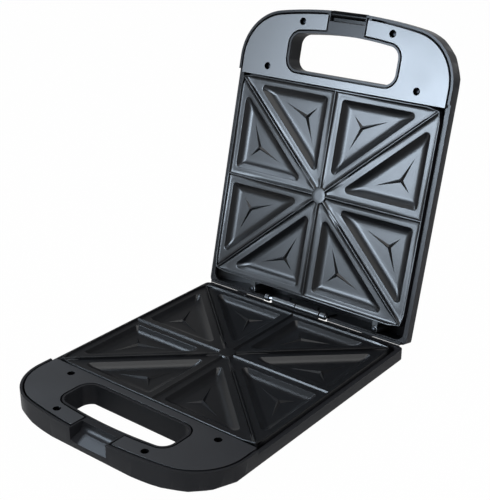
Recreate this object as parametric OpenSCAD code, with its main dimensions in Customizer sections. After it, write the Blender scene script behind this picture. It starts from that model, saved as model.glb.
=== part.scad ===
// Sandwich toaster with a hinged lid, drawn standing open on its feet.
// +X right, -Y handle end, +Y hinge end, +Z up.  Each half is drawn once, as the lower half of the
// closed toaster, with z = 0 on the parting plane and y = 0 on the middle of the cooking plate.
// The lid is the mirror image of that half, swung open about the hinge pin.

/* [Casing] */
// Width over the side walls
body_w = 262.6; // [255:0.2:280]
// Reach of the handle end, from the plate's middle to the front of the bow
handle_reach = 193.4; // [188:0.2:205]
// Radius of the two handle corners
corner_r = 55; // [45:1:65]
// Radius of the gentle bow across the front
bow_r = 520; // [450:10:700]
// Distance of the base's back behind the plate
base_back_out = 11.7; // [10.2:0.1:11.9]
// Distance of the lid's back behind the plate
lid_back_out = 16.5; // [15.7:0.1:17.7]
// Depth of each half, from the parting plane to its flat outer face
half_depth = 38; // [36:0.5:44]
// Wall thickness of the casings
wall = 2.6; // [2:0.1:3]
// Depth of the side wall's straight band
band_depth = 18; // [16:0.1:20]
// Depth of the handle's lower edge at the front
handle_depth = 22; // [20.6:0.1:24]
// Drop of the handle's flat underside below that edge
under_drop = 0.6; // [0.4:0.1:2]
// Run of the step from the handle's underside down to the flat outer face
under_run = 12.3; // [10:0.1:16]
// Run of the sloping underside, from the casing's side to the flat outer face
belly_in = 42.3; // [38:0.1:46]
// Front end of the flat outer face, from the plate's middle
belly_front = 104; // [96:1:110]
// Drop of the side rim below the parting plane
rim_drop = 4.2; // [3:0.1:4.2]
// Distance of the step from handle deck to side rim in front of the plate
step_out = 4.7; // [3.2:0.1:6.2]
// Width of the ledge gap round the plate
plate_gap = 1.2; // [0.8:0.1:1.6]

/* [Handle cover] */
// Drop of the cover's face below the parting plane
deck_drop = 1.2; // [0.8:0.1:1.6]
// Thickness of the cover
cover_t = 2; // [1.6:0.1:2.4]
// Width of the groove round the cover
groove = 1.6; // [0.5:0.1:1.6]
// Width of the casing's rim outside that groove
rim_w = 3; // [2.8:0.1:3.4]
// Distance of the front cover screws from the middle line
screw_front_x = 55.2; // [50:0.2:60]
// Distance of the front cover screws behind the handle's front
screw_front_in = 15.4; // [14.4:0.1:16.4]
// Distance of the rear cover screws from the casing's side
screw_side_in = 38.3; // [31:0.1:45]
// Distance of the rear cover screws in front of the plate
screw_rear_out = 12.4; // [11:0.1:16]
// Radius of the wells over the cover screws
well_r = 3.8; // [3.2:0.1:4.2]
// Depth of the wells over the cover screws
well_depth = 4.6; // [4:0.1:5.5]

/* [Hand slot] */
// Distance of the hand slot's ends from the casing's sides
slot_side_in = 65; // [63:0.1:71]
// Distance of the hand slot's rear edge in front of the plate
slot_rear_out = 13.2; // [13.2:0.1:15]
// Distance of the hand slot's front edge behind the handle's front, at the slot's ends
slot_front_in = 27.8; // [27.4:0.1:30]
// Rise of the bowed front edge at its middle
slot_bow = 3.4; // [2:0.1:3.6]
// Corner radius of the hand slot
slot_r = 12; // [10:0.5:16]
// Wall of the tube that lines the hand slot
slot_wall = 2.2; // [1.8:0.1:2.6]

/* [Thumb notch and latch] */
// Half width of the base's thumb notch
notch_half_w = 22.5; // [20:0.1:23]
// Length of the base's thumb notch
notch_len = 16.1; // [14.4:0.1:16.9]
// Depth of the notch floor at its rear
notch_depth = 11.5; // [10:0.1:13]
// Fall of the notch floor towards the front, for each unit of length
notch_fall = 0.3; // [0.1:0.02:0.4]
// Radius between the notch floor and its rear wall
notch_fillet = 7; // [4:0.5:8]
// Drop of the bridge between thumb notch and hand slot below the cover's face
bridge_drop = 0.6; // [0.3:0.1:1]
// Half width of the latch notch in the lid
latch_notch_half_w = 21.6; // [20:0.1:22.4]
// Length of the latch notch in the lid
latch_notch_len = 11.4; // [10.4:0.1:11.8]
// Thickness of the notch side walls
notch_wall = 1.1; // [1:0.1:1.3]
// Distance of the latch pivot behind the handle's front
latch_in = 3.6; // [3.2:0.1:4]
// Height of the latch pivot above the parting plane with the lid closed
latch_z = 5.4; // [5:0.1:6]
// Radius of the latch barrel
latch_barrel_r = 3.6; // [3.2:0.1:3.8]
// Radius of the latch pin
latch_pin_r = 1.5; // [1.2:0.1:1.8]
// Thickness of the latch clip
latch_t = 3.4; // [2:0.1:3.5]
// Length of the hook's nose
hook_len = 7; // [5:0.2:7.2]

/* [Cooking plates] */
// Distance of a cooking plate's side from the casing's side
plate_side_in = 6.3; // [5.8:0.1:9]
// Depth of a cooking plate
plate_d = 226.6; // [218:0.2:227.4]
// Corner radius of a cooking plate
plate_r = 9; // [6:0.5:14]
// Thickness of the cast metal
plate_t = 2.4; // [2:0.1:3]
// Gap between the closed plates at bead, ridges and hub
closed_gap = 0.4; // [0.4:0.1:1]
// Drop of the flat lands below the bead
land_drop = 2; // [1.6:0.1:3.4]
// Width of the bead round the edge
bead_w = 2.2; // [1.8:0.1:3]
// Depth of the pocket floors below the parting plane
pocket_depth = 7.6; // [6.6:0.1:9]
// Slope of the pocket walls, run for each unit of depth
pocket_slope = 1.4; // [0.8:0.05:1.6]
// Land between a pocket and the middle of a ridge
pocket_land = 9; // [8:0.1:12]
// Land between a pocket and the plate's edge
pocket_margin = 8.4; // [7:0.1:12]
// Corner radius of the pockets
pocket_r = 5; // [3:0.5:7]
// Width of a ridge at its top
ridge_top = 1.4; // [1:0.1:2.6]
// Width of a ridge at its foot
ridge_foot = 3.8; // [3:0.1:6]
// Radius of the hub where the ridges meet
hub_r = 8.6; // [7:0.1:10]
// Length of a star arm on a pocket floor
star_arm = 22; // [14:0.5:26]
// Radius of a star arm at the star's middle
star_r = 1.2; // [0.8:0.1:1.6]
// Height of the plate's outer skirt
skirt_h = 8; // [6:0.5:9]

/* [Heating] */
// Radius of the tubular heating elements
element_r = 3.3; // [3:0.1:4]
// Distance of the element's loop inside the plate's side
element_in = 40; // [33:0.5:45]
// Distance of the element's loop inside the plate's front and rear edges
element_y_in = 41.3; // [33.3:0.1:43.3]
// Bend radius of the element
element_bend = 20; // [15:1:30]
// Depth of the heat reflector below the parting plane
reflector_depth = 22; // [21:0.5:24]
// Distance of the heat reflector inside the plate's side
reflector_in = 19; // [17:0.5:25]
// Distance of the heat reflector inside the plate's front and rear edges
reflector_y_in = 16.3; // [13.3:0.1:19.3]
// Thickness of the reflector sheet
sheet_t = 0.8; // [0.6:0.1:1.2]

/* [Hinge] */
// Distance of the hinge pin behind the base's back
hinge_out = 1; // [0.8:0.1:1.2]
// Height of the hinge pin above the parting plane
hinge_z = 0.8; // [0.6:0.1:1]
// Radius of the hinge pin
pin_r = 2; // [1.6:0.1:2.4]
// Radius of the hinge barrels
barrel_r = 4; // [3.6:0.1:4]
// Middle of the two long barrels
hinge_x = -5.1; // [-8:0.1:0]
// Length of each long barrel
barrel_len = 30.4; // [26:0.2:32]
// Gap between neighbouring knuckles
knuckle_gap = 1.4; // [1:0.1:1.8]
// Gap between the left knuckle and the long barrel beside it
left_gap = 5.4; // [3:0.1:7]
// Length of the lid's left knuckle
left_knuckle = 4.9; // [4:0.1:7]
// Length of the lid's right knuckle
right_knuckle = 6.6; // [5:0.1:8]
// Thickness of the hinge leaves
leaf_t = 1.6; // [1.2:0.1:1.8]
// Angle through which the lid opens
open_angle = 103.6; // [95:0.1:106]

/* [Feet and fittings] */
// Height of the rubber feet
foot_h = 5; // [4:0.5:9]
// Radius of the rubber feet
foot_r = 9; // [7:0.5:10]
// Distance of the feet inside the edge of the flat outer face
foot_in = 13; // [11:0.5:25]
// Distance of the front feet behind the front end of the flat outer face
foot_front_in = 12; // [11:0.5:20]
// Distance of the rear feet in front of the base's back
foot_rear_in = 19; // [13:0.5:25]
// Radius of the screw shanks
shank_r = 1.45; // [1.2:0.05:1.5]
// Radius of the pan screw heads
head_r = 2.7; // [2.5:0.1:2.9]
// Radius of the signal lamp lenses
lens_r = 4.4; // [3.5:0.1:5]
// Radius of the cord's hole through its bushing
cord_r = 3.6; // [3:0.1:4]
// Running clearance of pins in their bores
run = 0.05; // [0.03:0.01:0.08]
// Seating gap between pieces that are not clamped
seat = 0.3; // [0.2:0.05:0.4]
// Place of the plate's middle, behind the middle of the open toaster
origin_y = -20.47; // [-25:0.01:0]

/* [Hidden] */
$fn = 64;

// ---- derived sizes ----
half_w = body_w / 2;
belly_w = body_w - 2 * belly_in;        // width of the flat outer face
plate_w = body_w - 2 * plate_side_in;
bow_centre = bow_r - handle_reach;
corner_x = half_w - corner_r;           // centres of the corners, whose arcs meet the bow's
corner_y = sqrt(pow(bow_r - corner_r, 2) - pow(corner_x, 2)) - bow_centre;
bow_tilt = asin(corner_x / (bow_r - corner_r));
edge_soft = 2.6;                        // height of the softened lower edge
parting_h = half_depth + foot_h;        // the parting plane above the table
back_r = 5;                             // rear corners of the casings
plate_x = plate_w / 2;
plate_y = plate_d / 2;
base_back = plate_y + base_back_out;
lid_back = plate_y + lid_back_out;
hinge_y = base_back + hinge_out;
step_y = plate_y + step_out;
plate_top = -closed_gap / 2;
land_z = plate_top - land_drop;
diagonal = norm([plate_x, plate_y]);
cover_z = -deck_drop - cover_t;         // lower face of the cover
cover_inset = rim_w + groove;
screw_front_y = handle_reach - screw_front_in;
screw_rear_x = half_w - screw_side_in;
screw_rear_y = plate_y + screw_rear_out;
slot_half_w = half_w - slot_side_in;
slot_rear = plate_y + slot_rear_out;
slot_front = handle_reach - slot_front_in;
notch_rear = handle_reach - notch_len;
notch_front = handle_reach + 5;          // where the notch's cut starts, clear of the handle
under_z = handle_depth + under_drop;
latch_notch_rear = handle_reach - latch_notch_len;
latch_y = handle_reach - latch_in;
ledge_z = -4.6;                         // top of the ledge round the plate
ledge_t = 2.6;
ear_t = 2.4;
ear_r = 4.3;
ear_x = 69.5;                           // plate ears, on both sides of the middle
lid_ear_x = [-68, 93];                  // the lid's rear ears
front_ear_y = -plate_y - 5.2;
front_ear_z = cover_z - 2.3 - ear_t;    // lower face of a front ear, its screw clear of the cover
rear_ear_z = ledge_z + 0.2;             // lower face of a rear ear
base_ear_y = base_back - wall - ear_r - seat;
lid_ear_y = lid_back - wall - ear_r - seat;
base_ears = [[-ear_x, base_ear_y], [ear_x, base_ear_y]];
lid_ears = [for (x = lid_ear_x) [x, lid_ear_y]];
rear_rim_z = -3.4;                      // top of the base's rear wall beside the hinge
lid_skirt_z = 0;                        // lower edge of the lid's rear wall beside the hinge
post_xy = [[60, 0], [-60, 0], [0, 60], [0, -60]];
post_r = 5;
boss_r = 4;
bore_r = shank_r + run;
tray_floor = -half_depth + wall;
element_z = -pocket_depth - plate_t - seat - element_r;
element_x = plate_x - element_in;
element_y = plate_y - element_y_in;
reflector_x = plate_x - reflector_in;
reflector_y = plate_y - reflector_y_in;
reflector_wall = 6;                     // height of the reflector's rim
reflector_r = 12;
disc_xy = [32, 24];                     // thermostat discs
fuse_xy = [-44, 24];
block_size = [36, 16, 10];
block_x = belly_w / 2 - 55;             // left end of the terminal block
block_y = base_back - 37;
block_pitch = 12;
leaf_w = 2 * barrel_len + knuckle_gap;
leaf_x = hinge_x - leaf_w / 2;
left_knuckle_x = leaf_x - left_gap - left_knuckle;
right_knuckle_x = leaf_x + leaf_w + knuckle_gap;
notch_x0 = left_knuckle_x - 2.5;        // opening for the hinge in the lid's back
notch_x1 = right_knuckle_x + right_knuckle + 2.5;
bore_len = leaf_w + 30;                 // past both ends of the knuckles
leaf_depth = 22;                        // lower edge of the base's hinge leaf
hinge_gap = barrel_r + 2.2;             // free height over the pin in the lid's back
hinge_screw_x = [leaf_x + 12, leaf_x + leaf_w - 12];
hinge_screw_z = -14;
foot_x = belly_w / 2 - foot_in;
foot_front = belly_front - foot_front_in;
foot_rear = base_back - foot_rear_in;
foot_xy = [[foot_x, -foot_front], [-foot_x, -foot_front], [foot_x, foot_rear], [-foot_x, foot_rear]];
cover_screw_xy = [for (s = [-1, 1]) each
    [[s * screw_front_x, -screw_front_y], [s * screw_rear_x, -screw_rear_y]]];
cord_x = belly_w / 2 + 3;
cord_z = -24;
lamp_x = 15;
lamp_y = -86;
clip_inner = latch_barrel_r + seat;     // clip's inner face from its pivot
hook_z = latch_z + under_z + 0.5;        // hook's upper face from the pivot
stop_x = 84;                            // lugs that the open lid leans on
stop_w = 12;

// ---- outlines and helpers ----
function unit(v) = v / norm(v);

function arc(centre, r, from, to, steps) =
    [for (i = [0 : steps]) let (a = from + (to - from) * i / steps) centre + r * [cos(a), sin(a)]];

function inner(points) = [for (i = [1 : len(points) - 2]) points[i]];

// Rounded corner between the points before and after it, run anticlockwise
function rounded(before, corner, after, r, steps) =
    let (u = unit(before - corner),
         v = unit(after - corner),
         half = acos(u * v) / 2,
         from = atan2(u[0], -u[1]))
    arc(corner + unit(u + v) * r / sin(half), r, from, from + 180 - 2 * half, steps);

// Convex outline, listed anticlockwise, with a radius at its corners
module round_outline(points, r, steps = 6) {
    n = len(points);
    polygon([for (i = [0 : n - 1]) each
        rounded(points[(i + n - 1) % n], points[i], points[(i + 1) % n], r, steps)]);
}

module round_box(x, y0, y1, r) {
    round_outline([[-x, y0], [x, y0], [x, y1], [-x, y1]], r);
}

// Outline of a half seen from above, moved in by a distance: a bowed front, tangent corners
module plan(inset, back) {
    r = corner_r - inset;
    rear_r = max(back_r - inset, 1);
    x = half_w - inset - rear_r;
    y = back - inset - rear_r;
    polygon(concat(
        arc([-corner_x, -corner_y], r, 180, 270 - bow_tilt, 16),
        inner(arc([0, bow_centre], bow_r - inset, 270 - bow_tilt, 270 + bow_tilt, 15)),
        arc([corner_x, -corner_y], r, 270 + bow_tilt, 360, 16),
        arc([x, y], rear_r, 0, 90, 4),
        arc([-x, y], rear_r, 90, 180, 4)));
}

// Depth of the wall's lower edge in a direction, from the sides (0) round to the front (90)
function edge_depth(a) = band_depth + (handle_depth - band_depth) * (1 - cos(2 * a)) / 2;

// Reach of the outline and of the flat outer face in that direction
function reach(a) = a == 90 ? handle_reach
    : a == 0 ? half_w : corner_x * cos(a) + corner_y * sin(a) + corner_r;
function flat_reach(a) = belly_w / 2 * cos(a) + belly_front * sin(a);

// Side view of the space under the handle: flat to behind the hand slot, then down to the belly
function handle_underside(t) =
    let (m = under_run / (half_depth - under_z),
         y = -slot_rear + slot_wall + 1 + t * (sqrt(1 + m * m) - m),
         top = -under_z + t,
         low = -half_depth - 1)
    [[-handle_reach - 1, low], [-handle_reach - 1, top], [y, top], [y + m * (top - low), low]];

// Everything below a plane that leaves the wall in a direction and falls inwards
module below_plane(a, x, depth, slope, t) {
    rotate([0, 0, -a])
        translate([x, 0, -depth])
            rotate([0, -atan(slope), 0])
                translate([-500, -500, -500 + t])
                    cube([1000, 1000, 500]);
}

// Body of a half, its wall taken off by t: upright walls over a dished underside
module casing_form(t, back, top) {
    difference() {
        translate([0, 0, -half_depth + t])
            linear_extrude(half_depth - t + top)
                plan(t, back);
        for (s = [0, 1])
            mirror([s, 0, 0])
                for (a = [0, 22.5, 45, 67.5, 90]) {
                    depth = edge_depth(a);
                    slope = (half_depth - depth) / (reach(a) - flat_reach(a));
                    below_plane(a, reach(a), depth, slope, t);
                    below_plane(a, reach(a), depth - edge_soft, 1.3, t);
                }
        translate([-half_w - 1, 0, 0])
            rotate([90, 0, 90])
                linear_extrude(body_w + 2)
                    polygon(handle_underside(t));
    }
}

// Outline of the hand slot, its front edge bowed, moved out by a distance
module slot_outline(grow) {
    r = slot_r + grow;
    x = slot_half_w - slot_r;
    y0 = -slot_front + slot_r;
    y1 = -slot_rear - slot_r;
    bow = (pow(x, 2) + pow(slot_bow, 2)) / (2 * slot_bow);
    tilt = asin(x / bow);
    polygon(concat(
        arc([-x, y0], r, 180, 270 - tilt, 8),
        inner(arc([0, bow - slot_front - slot_bow], bow + grow, 270 - tilt, 270 + tilt, 10)),
        arc([x, y0], r, 270 + tilt, 360, 8),
        arc([x, y1], r, 0, 90, 8),
        arc([-x, y1], r, 90, 180, 8)));
}

// Screw with a pan head and a cross recess; head side up, seated at z = 0
module screw(shank) {
    difference() {
        union() {
            cylinder(h = 1.2, r = head_r);
            translate([0, 0, 1.2])
                cylinder(h = 0.6, r1 = head_r, r2 = head_r - 0.7);
        }
        for (a = [0, 90])
            rotate([0, 0, a])
                translate([-1.5, -0.3, 0.9])
                    cube([3, 0.6, 2]);
    }
    translate([0, 0, -shank])
        cylinder(h = shank, r = shank_r);
}

// Upper half pieces are drawn as lower half ones, mirrored and swung open
module in_base() {
    translate([0, origin_y, parting_h])
        children();
}

module swung() {
    translate([0, origin_y, parting_h])
        translate([0, hinge_y, hinge_z])
            rotate([-open_angle, 0, 0])
                translate([0, -hinge_y, -hinge_z])
                    children();
}

module in_lid() {
    swung()
        mirror([0, 0, 1])
            children();
}

// ---- casing ----
module casing(back, rear_ears, rear_bosses) {
    difference() {
        intersection() {
            casing_form(0, back, 0);
            union() {
                difference() {
                    translate([-half_w - 1, -handle_reach - 1, -half_depth - 1])
                        cube([body_w + 2, handle_reach + back + 2, half_depth + 1 - deck_drop]);
                    casing_form(wall, back, 1);
                }
                plate_ledge(back);
                slot_tube();
                for (p = cover_screw_xy)
                    translate([p[0], p[1], -half_depth])
                        cylinder(h = half_depth + cover_z - well_depth, r = boss_r);
                for (s = [-1, 1])
                    translate([s * ear_x, front_ear_y, -half_depth])
                        cylinder(h = half_depth + front_ear_z, r = ear_r);
                for (p = rear_ears)
                    translate([p[0], p[1], -half_depth])
                        cylinder(h = half_depth + rear_ear_z, r = ear_r);
                for (p = post_xy)
                    translate([p[0], p[1], -half_depth])
                        cylinder(h = half_depth - reflector_depth, r = post_r);
                for (p = rear_bosses)
                    translate([p[0], p[1], -half_depth])
                        cylinder(h = 9, r = boss_r + 1);
                children(0);
            }
        }
        translate([-half_w - 1, -step_y, -rim_drop])
            cube([body_w + 2, step_y + back + 1, 20]);
        translate([0, 0, -half_depth - 1])
            linear_extrude(half_depth + 2)
                slot_outline(0);
        for (p = cover_screw_xy)
            translate([p[0], p[1], cover_z - well_depth - 7])
                cylinder(h = 8, r = bore_r);
        for (s = [-1, 1])
            translate([s * ear_x, front_ear_y, front_ear_z - 8])
                cylinder(h = 9, r = bore_r);
        for (p = rear_ears)
            translate([p[0], p[1], rear_ear_z - 8])
                cylinder(h = 9, r = bore_r);
        for (p = post_xy)
            translate([p[0], p[1], -reflector_depth - 8])
                cylinder(h = 9, r = bore_r);
        for (p = rear_bosses)
            translate([p[0], p[1], -half_depth - 1])
                cylinder(h = 9, r = bore_r);
        children(1);
    }
}

module plate_ledge(back) {
    x = plate_x + plate_gap;
    translate([0, 0, ledge_z - ledge_t])
        linear_extrude(ledge_t)
            difference() {
                translate([-half_w, -step_y])
                    square([body_w, step_y + back]);
                round_box(x, -plate_y - 20, back - wall - 0.5, plate_r);
            }
}

// Strips on top of the rear wall, on both sides of the hinge's opening
module rear_strips(back, low, high) {
    for (x = [[-half_w + back_r, notch_x0], [notch_x1, half_w - back_r]])
        translate([x[0], back - wall, low])
            cube([x[1] - x[0], wall, high - low]);
}

module slot_tube() {
    translate([0, 0, -half_depth])
        linear_extrude(half_depth - deck_drop)
            difference() {
                slot_outline(slot_wall);
                slot_outline(-0.5);
            }
}

module base_housing() {
    color("#17181b")
    in_base()
    casing(base_back, base_ears, foot_xy) {
        thumb_notch_walls();
        union() {
            thumb_notch_cut();
            translate([leaf_x - 1, base_back - wall - leaf_t - seat, ledge_z - ledge_t - 1])
                cube([leaf_w + 2, leaf_t + seat, 20]);
            for (x = hinge_screw_x)
                translate([x, base_back + 1, hinge_screw_z])
                    rotate([90, 0, 0])
                        cylinder(h = 6, r = bore_r + 0.2);
            translate([cord_x, base_back + 1, cord_z])
                rotate([90, 0, 0])
                    cylinder(h = 8, r = cord_r + 2.2);
        }
    }
    color("#17181b")
    in_base()
        for (s = [-1, 1])
            translate([s * stop_x - stop_w / 2, base_back - 0.5, -13])
                cube([stop_w, 6.5, 7.8]);
    color("#17181b")
    in_base()
        rear_strips(base_back, -rim_drop - 1, rear_rim_z);
}

// Walls of the notch in the base's handle, and the bridge from it to the hand slot
module thumb_notch_walls() {
    x = notch_half_w + notch_wall;
    translate([-x, -handle_reach, -handle_depth])
        cube([2 * x, handle_reach - notch_rear, handle_depth - deck_drop]);
    translate([-x, -notch_rear - 1, -handle_depth])
        cube([2 * x, 3, handle_depth + cover_z]);
    translate([-x, -notch_rear - 1, -deck_drop - bridge_drop - wall])
        cube([2 * x, notch_rear - slot_front - slot_bow, wall]);
}

// Space of the notch: an upright rear wall, a fillet, and a floor that falls to the front
module thumb_notch_cut() {
    from = -notch_rear - notch_fillet;
    translate([-notch_half_w, 0, 0])
        rotate([90, 0, 90])
            linear_extrude(2 * notch_half_w)
                polygon(concat(
                    [[-notch_front, 10], [-notch_rear, 10]],
                    arc([from, -notch_depth + notch_fillet], notch_fillet, 0, -90, 8),
                    [[-notch_front, -notch_depth - notch_fall * (from + notch_front)]]));
}

module lid_housing() {
    color("#17181b")
    in_lid()
    casing(lid_back, lid_ears, []) {
        latch_notch_walls();
        union() {
            latch_notch_cut();
            translate([notch_x0, hinge_y - barrel_r - seat, ledge_z - ledge_t - seat])
                cube([notch_x1 - notch_x0, 20, 20]);
            for (x = hinge_screw_x)
                translate([x, lid_back + 1, hinge_screw_z - 2])
                    rotate([90, 0, 0])
                        cylinder(h = 6, r = bore_r + 0.2);
            for (s = [-1, 1])
                translate([s * lamp_x, lamp_y, -half_depth - 1])
                    cylinder(h = wall + 2, r = lens_r + run);
        }
    }
    color("#17181b")
    in_lid()
        rear_strips(lid_back, -rim_drop - 1, lid_skirt_z);
}

// Side walls, rear wall and pivot bosses of the lid's notch
module latch_notch_walls() {
    x = latch_notch_half_w + notch_wall;
    translate([-x, -handle_reach, -handle_depth])
        cube([2 * x, handle_reach - latch_notch_rear + notch_wall, handle_depth - deck_drop]);
    translate([-x, -latch_notch_rear, -deck_drop - wall])
        cube([2 * x, latch_notch_rear - slot_front - slot_bow - 1, wall]);
    for (s = [-1, 1])
        translate([s * (latch_notch_half_w + 2.7), -latch_y + 1.6, -latch_z - 1.6])
            cube([5.4, 9, 7], center = true);
}

module latch_notch_cut() {
    translate([-latch_notch_half_w, -handle_reach - 5, -handle_depth - 5])
        cube([2 * latch_notch_half_w, handle_reach + 5 - latch_notch_rear, handle_depth + 10]);
    translate([-latch_notch_half_w - 4, -latch_y, -latch_z])
        rotate([0, 90, 0])
            cylinder(h = 2 * latch_notch_half_w + 8, r = latch_pin_r + run);
}

// ---- handle covers ----
// Ring round the hand slot, split in front where the casing's bridge passes
module cover(notch_x) {
    difference() {
        union() {
            translate([0, 0, cover_z])
                linear_extrude(cover_t)
                    difference() {
                        intersection() {
                            plan(cover_inset, base_back);
                            translate([-half_w, -handle_reach])
                                square([body_w, handle_reach - plate_y - plate_gap]);
                        }
                        slot_outline(slot_wall + groove);
                        translate([-notch_x, -handle_reach - 1])
                            square([2 * notch_x, handle_reach - slot_front + 5]);
                    }
            for (p = cover_screw_xy)
                translate([p[0], p[1], cover_z - well_depth])
                    cylinder(h = well_depth, r = well_r + 1);
        }
        for (p = cover_screw_xy) {
            translate([p[0], p[1], cover_z - well_depth + 1.4])
                cylinder(h = 20, r = well_r);
            translate([p[0], p[1], cover_z - well_depth - 1])
                cylinder(h = 20, r = bore_r + 0.2);
        }
    }
}

module base_cover() {
    color("#2b2d31")
        in_base()
            cover(notch_half_w + notch_wall + groove);
}

module lid_cover() {
    color("#2b2d31")
        in_lid()
            cover(latch_notch_half_w + notch_wall + groove);
}

module cover_screws() {
    for (p = cover_screw_xy)
        translate([p[0], p[1], cover_z - well_depth + 1.4])
            screw(7);
}

module base_cover_screws() {
    color("#55585c")
        in_base()
            cover_screws();
}

module lid_cover_screws() {
    color("#55585c")
        in_lid()
            cover_screws();
}

// ---- cooking plates ----
// Corners of the two pockets in the first quarter: beside the rear edge, beside the side edge
rear_pocket = [
    [pocket_land, plate_y - pocket_margin],
    [pocket_land, (pocket_land * diagonal + pocket_land * plate_y) / plate_x],
    [((plate_y - pocket_margin) * plate_x - pocket_land * diagonal) / plate_y,
        plate_y - pocket_margin]];
side_pocket = [
    [plate_x - pocket_margin, pocket_land],
    [plate_x - pocket_margin,
        ((plate_x - pocket_margin) * plate_y - pocket_land * diagonal) / plate_x],
    [(pocket_land * diagonal + pocket_land * plate_x) / plate_y, pocket_land]];

// Solid that fills a pocket, its three walls sloping inwards; grow moves every face out
module pocket_form(corners, grow) {
    middle = (corners[0] + corners[1] + corners[2]) / 3;
    intersection() {
        translate([0, 0, -pocket_depth - grow])
            linear_extrude(pocket_depth + grow + 2)
                round_outline([for (i = [0 : 2])
                    corners[i] + unit(corners[i] - middle) * grow * 2], pocket_r);
        inside_walls(corners, grow);
    }
}

// Space inside the three sloping walls over the edges of a triangle, listed anticlockwise
module inside_walls(corners, grow) {
    intersection_for (i = [0 : 2]) {
        from = corners[i];
        along = corners[(i + 1) % 3] - from;
        translate([from[0], from[1], land_z])
            rotate([0, 0, atan2(along[1], along[0])])
                rotate([atan(pocket_slope), 0, 0])
                    translate([-200, -grow, -100])
                        cube([500, 300, 200]);
    }
}

module each_pocket() {
    for (x = [0, 1])
        mirror([x, 0, 0])
            for (y = [0, 1])
                mirror([0, y, 0])
                    children();
}

// Three tapering arms that rise from a pocket floor towards its corners
module star(corners) {
    a = norm(corners[1] - corners[2]);
    b = norm(corners[2] - corners[0]);
    c = norm(corners[0] - corners[1]);
    middle = (corners[0] * a + corners[1] * b + corners[2] * c) / (a + b + c);
    for (p = corners) {
        d = p - middle;
        translate([middle[0], middle[1], -pocket_depth])
            rotate([0, 0, atan2(d[1], d[0])])
                rotate([0, 90, 0])
                    cylinder(h = star_arm, r1 = star_r, r2 = 0.15, $fn = 24);
    }
}

module ridge(length, angle) {
    rotate([0, 0, angle])
        translate([-length / 2, 0, land_z])
            rotate([90, 0, 90])
                linear_extrude(length)
                    polygon([[-ridge_foot / 2, -0.5], [ridge_foot / 2, -0.5], [ridge_foot / 2, 0],
                        [ridge_top / 2, land_drop], [-ridge_top / 2, land_drop],
                        [-ridge_foot / 2, 0]]);
}

module plate_ear(x, y, z) {
    translate([x, y, z])
        cylinder(h = ear_t, r = ear_r);
    edge = y > 0 ? plate_y - bead_w : -plate_y + bead_w;
    translate([x - 3, min(edge, y), z])
        cube([6, abs(y - edge), ear_t]);
}

module cooking_plate(rear_ears) {
    difference() {
        union() {
            translate([0, 0, land_z - plate_t])
                linear_extrude(plate_t)
                    round_box(plate_x, -plate_y, plate_y, plate_r);
            translate([0, 0, plate_top - skirt_h])
                linear_extrude(skirt_h)
                    difference() {
                        round_box(plate_x, -plate_y, plate_y, plate_r);
                        round_box(plate_x - bead_w, -plate_y + bead_w, plate_y - bead_w,
                            plate_r - bead_w);
                    }
            intersection() {
                union() {
                    ridge(2 * plate_x, 0);
                    ridge(2 * plate_y, 90);
                    ridge(2 * diagonal, atan2(plate_y, plate_x));
                    ridge(2 * diagonal, -atan2(plate_y, plate_x));
                }
                translate([0, 0, land_z - 1])
                    linear_extrude(land_drop + 1)
                        round_box(plate_x - 1, -plate_y + 1, plate_y - 1, plate_r - 1);
            }
            translate([0, 0, land_z - 0.5])
                cylinder(h = land_drop + 0.5, r1 = hub_r + 1.6, r2 = hub_r);
            intersection() {
                each_pocket() {
                    pocket_form(rear_pocket, plate_t);
                    pocket_form(side_pocket, plate_t);
                }
                translate([-plate_x, -plate_y, -pocket_depth - plate_t])
                    cube([plate_w, plate_d, pocket_depth + plate_t + land_z - 0.5]);
            }
            for (s = [-1, 1])
                plate_ear(s * ear_x, front_ear_y, front_ear_z);
            for (p = rear_ears)
                plate_ear(p[0], p[1], rear_ear_z);
        }
        each_pocket() {
            pocket_form(rear_pocket, 0);
            pocket_form(side_pocket, 0);
        }
        for (s = [-1, 1])
            ear_hole(s * ear_x, front_ear_y, front_ear_z);
        for (p = rear_ears)
            ear_hole(p[0], p[1], rear_ear_z);
    }
    each_pocket() {
        intersection() {
            union() {
                star(rear_pocket);
                star(side_pocket);
            }
            translate([0, 0, -pocket_depth - plate_t / 2])
                cube([plate_x, plate_y, pocket_depth]);
        }
    }
}

module ear_hole(x, y, z) {
    translate([x, y, z - 1])
        cylinder(h = ear_t + 2, r = bore_r + 0.2);
}

module plate_screws(rear_ears) {
    for (s = [-1, 1])
        translate([s * ear_x, front_ear_y, front_ear_z + ear_t])
            screw(ear_t + 7);
    for (p = rear_ears)
        translate([p[0], p[1], rear_ear_z + ear_t])
            screw(ear_t + 7);
}

module base_plate() {
    color("#232428")
        in_base()
            cooking_plate(base_ears);
}

module lid_plate() {
    color("#232428")
        in_lid()
            cooking_plate(lid_ears);
}

module base_plate_screws() {
    color("#55585c")
        in_base()
            plate_screws(base_ears);
}

module lid_plate_screws() {
    color("#55585c")
        in_lid()
            plate_screws(lid_ears);
}

// ---- heating ----
module quarter_bend(x, y, angle) {
    translate([x, y, 0])
        rotate([0, 0, angle])
            rotate_extrude(angle = 90)
                translate([element_bend, 0])
                    circle(r = element_r, $fn = 32);
}

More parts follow.
